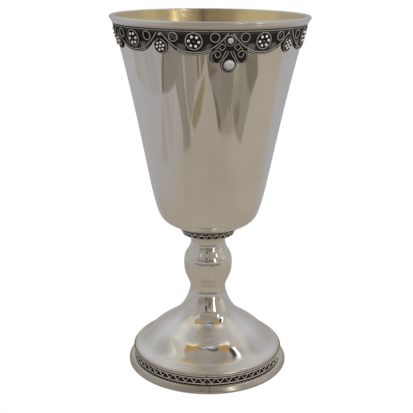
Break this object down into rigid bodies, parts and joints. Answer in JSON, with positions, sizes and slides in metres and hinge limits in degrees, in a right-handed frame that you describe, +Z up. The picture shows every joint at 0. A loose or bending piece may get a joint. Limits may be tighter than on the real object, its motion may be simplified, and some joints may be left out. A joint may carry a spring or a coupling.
{
  "type": "footed goblet",
  "caption": "Footed silver goblet with a tapering gilt-lined bowl, scalloped filigree frieze under the lip, round knop, openwork collar and a domed ring foot.",
  "frame": {"origin": "centre of the circle that the base ring stands on", "axes": "+Z up along the goblet's axis, -Y towards the front, where the base ring's solder seam is"},
  "size_m": [0.0804, 0.0804, 0.15],
  "materials": {
    "polished_silver": "mirror-polished sterling silver, spun sheet",
    "moulding_silver": "polished silver moulding with soft edges",
    "gilt": "gold wash over silver, fine satin polish round the axis",
    "oxidised_silver": "black oxidised silver sheet, rubbed brighter on high spots",
    "filigree_silver": "bright twisted silver wire with dark oxide in the grooves",
    "granulation_silver": "bright silver granules on oxidised sheet",
    "bezel_silver": "silver stone settings, darkened at the foot",
    "clear_stone": "clear colourless cut stones",
    "fastener_brass": "turned brass, plain machine finish"
  },
  "bodies": {
    "root": {"bowl": "polished_silver", "gilt_lining": "gilt", "rim_moulding": "moulding_silver", "frieze_strip": "oxidised_silver", "frieze_border_wire": "filigree_silver", "scallop_inner_wires": "filigree_silver", "scallop_outer_wires": "filigree_silver", "rosette_rings": "filigree_silver", "rosette_granules": "granulation_silver", "rosette_centre_granules": "granulation_silver", "spacer_rings": "filigree_silver", "pendant_scrolls": "filigree_silver", "pendant_drop_wires": "filigree_silver", "pendant_lozenges": "filigree_silver", "pendant_upper_rings": "filigree_silver", "pendant_upper_bezels": "bezel_silver", "pendant_upper_stones": "clear_stone", "pendant_lower_bezels": "bezel_silver", "pendant_lower_stones": "clear_stone", "cusp_teardrop_wires": "filigree_silver", "cusp_granules": "granulation_silver", "collar_cone": "oxidised_silver", "collar_zigzag": "filigree_silver", "collar_upper_zigzag": "filigree_silver", "collar_top_wire": "filigree_silver", "collar_bottom_wire": "filigree_silver", "stem_knop": "polished_silver", "foot": "polished_silver", "gallery_band": "oxidised_silver", "gallery_zigzag": "filigree_silver", "gallery_top_wire": "moulding_silver", "gallery_bottom_wire": "filigree_silver", "base_ring": "moulding_silver", "bowl_boss": "fastener_brass", "tie_rod": "fastener_brass", "foot_washer": "fastener_brass", "foot_nut": "fastener_brass"}
  },
  "joints": []
}
